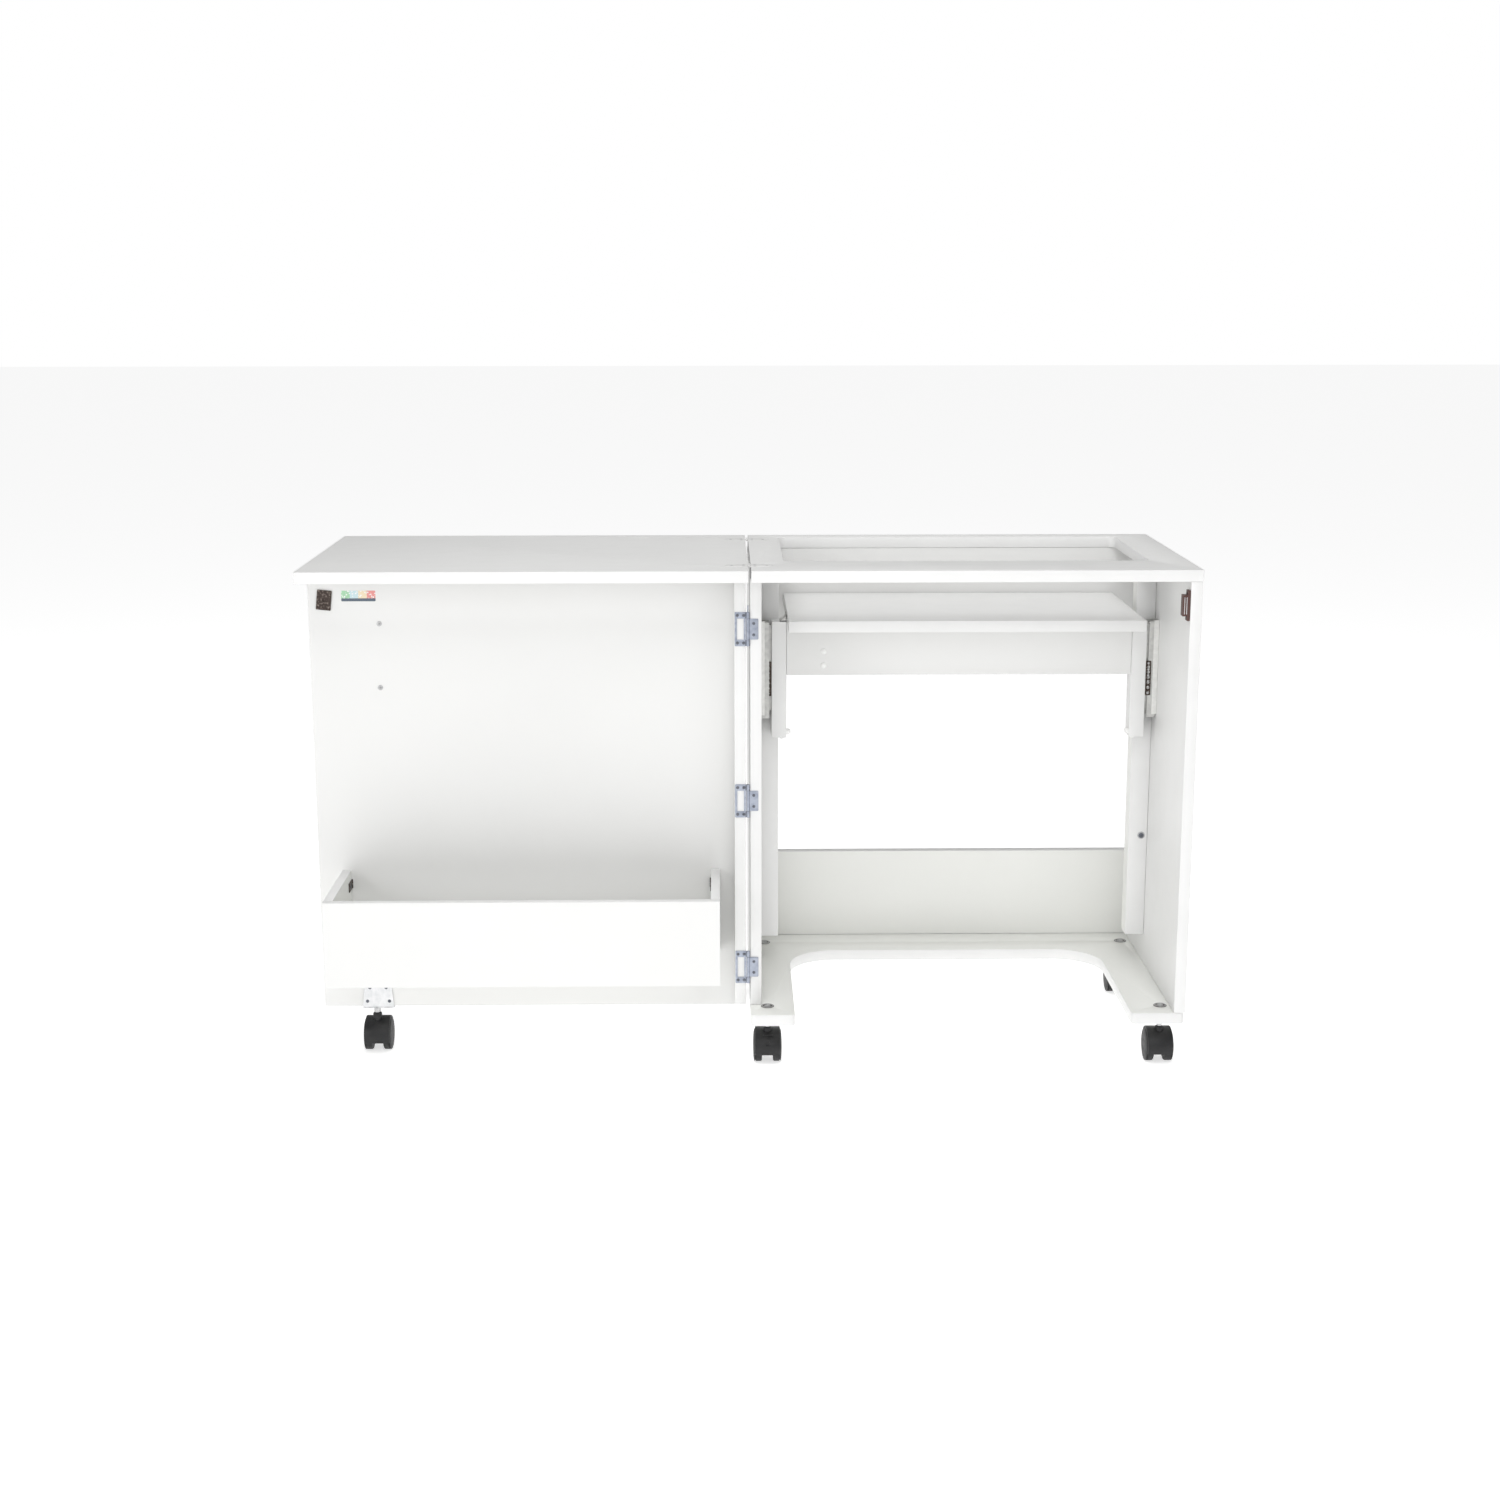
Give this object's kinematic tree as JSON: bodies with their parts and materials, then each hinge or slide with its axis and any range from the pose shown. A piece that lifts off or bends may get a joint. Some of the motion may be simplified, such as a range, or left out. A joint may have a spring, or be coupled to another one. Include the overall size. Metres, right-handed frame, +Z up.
{
  "type": "sewing table",
  "caption": "Fold-out sewing cabinet on casters: top with machine cut-out and lift platform, fold-over leaf, and an L-shaped door with a storage bin.",
  "frame": {"origin": "on the floor, below the middle of the open table's bounding box", "axes": "+Z up; +X from the leaf towards the cabinet, along the table's width; +Y from the user's side to the back"},
  "size_m": [1.32, 0.535, 0.7668],
  "materials": {
    "melamine": "white melamine-faced board, satin",
    "zinc": "zinc-plated steel",
    "hinge_plate": "white-painted steel, flush",
    "bronze": "dark bronze steel",
    "brown_plastic": "brown moulded plastic",
    "black_plastic": "black moulded nylon",
    "tyre_black": "black moulded nylon"
  },
  "bodies": {
    "cabinet": {"main_top": "melamine", "left_side_panel": "melamine", "right_side_panel": "melamine", "base_plate": "melamine", "lower_back_board": "melamine", "upper_back_board": "melamine", "lift_post_left": "melamine", "lift_post_right": "melamine", "magnetic_catch": "brown_plastic", "slide_outer_left": "zinc", "slide_outer_right": "zinc", "top_hinge_front": "hinge_plate", "top_hinge_rear": "hinge_plate", "door_hinge_frame_top": "zinc", "door_hinge_frame_middle": "zinc", "door_hinge_frame_bottom": "zinc"},
    "leaf": {"leaf_board": "melamine", "leaf_hinge_front": "hinge_plate", "leaf_hinge_rear": "hinge_plate"},
    "door": {"door_panel": "melamine", "door_return_board": "melamine", "bin_front": "melamine", "bin_side_left": "melamine", "bin_side_right": "melamine", "bin_bottom": "melamine", "strike_plate": "bronze", "caster_bracket": "zinc", "door_hinge_leaf_top": "zinc", "door_hinge_leaf_middle": "zinc", "door_hinge_leaf_bottom": "zinc"},
    "lift": {"lift_platform": "melamine", "lift_board_left": "melamine", "lift_board_right": "melamine", "lift_cross_board": "melamine", "slide_inner_left": "zinc", "slide_inner_right": "zinc"},
    "slide_middle_left": {"slide_middle_left": "zinc"},
    "slide_middle_right": {"slide_middle_right": "zinc"},
    "caster_front_left": {"caster_front_left_hood": "black_plastic", "caster_front_left_stem": "zinc"},
    "caster_front_left_wheel_left": {"caster_front_left_wheel_left": "tyre_black"},
    "caster_front_left_wheel_right": {"caster_front_left_wheel_right": "tyre_black"},
    "caster_front_right": {"caster_front_right_hood": "black_plastic", "caster_front_right_stem": "zinc"},
    "caster_front_right_wheel_left": {"caster_front_right_wheel_left": "tyre_black"},
    "caster_front_right_wheel_right": {"caster_front_right_wheel_right": "tyre_black"},
    "caster_rear_left": {"caster_rear_left_hood": "black_plastic", "caster_rear_left_stem": "zinc"},
    "caster_rear_left_wheel_left": {"caster_rear_left_wheel_left": "tyre_black"},
    "caster_rear_left_wheel_right": {"caster_rear_left_wheel_right": "tyre_black"},
    "caster_rear_right": {"caster_rear_right_hood": "black_plastic", "caster_rear_right_stem": "zinc"},
    "caster_rear_right_wheel_left": {"caster_rear_right_wheel_left": "tyre_black"},
    "caster_rear_right_wheel_right": {"caster_rear_right_wheel_right": "tyre_black"},
    "caster_door": {"caster_door_hood": "black_plastic", "caster_door_stem": "zinc"},
    "caster_door_wheel_left": {"caster_door_wheel_left": "tyre_black"},
    "caster_door_wheel_right": {"caster_door_wheel_right": "tyre_black"}
  },
  "joints": [
    {"name": "leaf_fold", "type": "hinge", "parent": "cabinet", "child": "leaf", "pos_m": [0, 0.0125, 0.7653], "axis": [0, 1, 0], "range_deg": [0, 180]},
    {"name": "door_swing", "type": "hinge", "parent": "cabinet", "child": "door", "pos_m": [-0.0023, -0.138, 0.4], "axis": [0, 0, 1], "range_deg": [0, 180]},
    {"name": "lift_travel", "type": "slide", "parent": "cabinet", "child": "lift", "axis": [0, 0, 1], "range_m": [-0.22, 0.06]},
    {"name": "slide_middle_left_travel", "type": "slide", "parent": "cabinet", "child": "slide_middle_left", "axis": [0, 0, 1], "range_m": [-0.11, 0.03]},
    {"name": "slide_middle_right_travel", "type": "slide", "parent": "cabinet", "child": "slide_middle_right", "axis": [0, 0, 1], "range_m": [-0.11, 0.03]},
    {"name": "caster_front_left_swivel", "type": "hinge", "parent": "cabinet", "child": "caster_front_left", "pos_m": [0.027, -0.1435, 0.06], "axis": [0, 0, 1], "continuous": true},
    {"name": "caster_front_left_wheel_left_roll", "type": "hinge", "parent": "caster_front_left", "child": "caster_front_left_wheel_left", "pos_m": [0.01325, -0.1355, 0.025], "axis": [1, 0, 0], "continuous": true},
    {"name": "caster_front_left_wheel_right_roll", "type": "hinge", "parent": "caster_front_left", "child": "caster_front_left_wheel_right", "pos_m": [0.04075, -0.1355, 0.025], "axis": [1, 0, 0], "continuous": true},
    {"name": "caster_front_right_swivel", "type": "hinge", "parent": "cabinet", "child": "caster_front_right", "pos_m": [0.628, -0.1495, 0.06], "axis": [0, 0, 1], "continuous": true},
    {"name": "caster_front_right_wheel_left_roll", "type": "hinge", "parent": "caster_front_right", "child": "caster_front_right_wheel_left", "pos_m": [0.61425, -0.1415, 0.025], "axis": [1, 0, 0], "continuous": true},
    {"name": "caster_front_right_wheel_right_roll", "type": "hinge", "parent": "caster_front_right", "child": "caster_front_right_wheel_right", "pos_m": [0.64175, -0.1415, 0.025], "axis": [1, 0, 0], "continuous": true},
    {"name": "caster_rear_left_swivel", "type": "hinge", "parent": "cabinet", "child": "caster_rear_left", "pos_m": [0.028, 0.1865, 0.06], "axis": [0, 0, 1], "continuous": true},
    {"name": "caster_rear_left_wheel_left_roll", "type": "hinge", "parent": "caster_rear_left", "child": "caster_rear_left_wheel_left", "pos_m": [0.01425, 0.1945, 0.025], "axis": [1, 0, 0], "continuous": true},
    {"name": "caster_rear_left_wheel_right_roll", "type": "hinge", "parent": "caster_rear_left", "child": "caster_rear_left_wheel_right", "pos_m": [0.04175, 0.1945, 0.025], "axis": [1, 0, 0], "continuous": true},
    {"name": "caster_rear_right_swivel", "type": "hinge", "parent": "cabinet", "child": "caster_rear_right", "pos_m": [0.626, 0.1865, 0.06], "axis": [0, 0, 1], "continuous": true},
    {"name": "caster_rear_right_wheel_left_roll", "type": "hinge", "parent": "caster_rear_right", "child": "caster_rear_right_wheel_left", "pos_m": [0.61225, 0.1945, 0.025], "axis": [1, 0, 0], "continuous": true},
    {"name": "caster_rear_right_wheel_right_roll", "type": "hinge", "parent": "caster_rear_right", "child": "caster_rear_right_wheel_right", "pos_m": [0.63975, 0.1945, 0.025], "axis": [1, 0, 0], "continuous": true},
    {"name": "caster_door_swivel", "type": "hinge", "parent": "door", "child": "caster_door", "pos_m": [-0.579, -0.0805, 0.06], "axis": [0, 0, 1], "continuous": true},
    {"name": "caster_door_wheel_left_roll", "type": "hinge", "parent": "caster_door", "child": "caster_door_wheel_left", "pos_m": [-0.59275, -0.0725, 0.025], "axis": [1, 0, 0], "continuous": true},
    {"name": "caster_door_wheel_right_roll", "type": "hinge", "parent": "caster_door", "child": "caster_door_wheel_right", "pos_m": [-0.56525, -0.0725, 0.025], "axis": [1, 0, 0], "continuous": true}
  ],
  "couplings": [
    {"joint": "slide_middle_left_travel", "follows": "lift_travel", "ratio": 0.5},
    {"joint": "slide_middle_right_travel", "follows": "lift_travel", "ratio": 0.5}
  ]
}
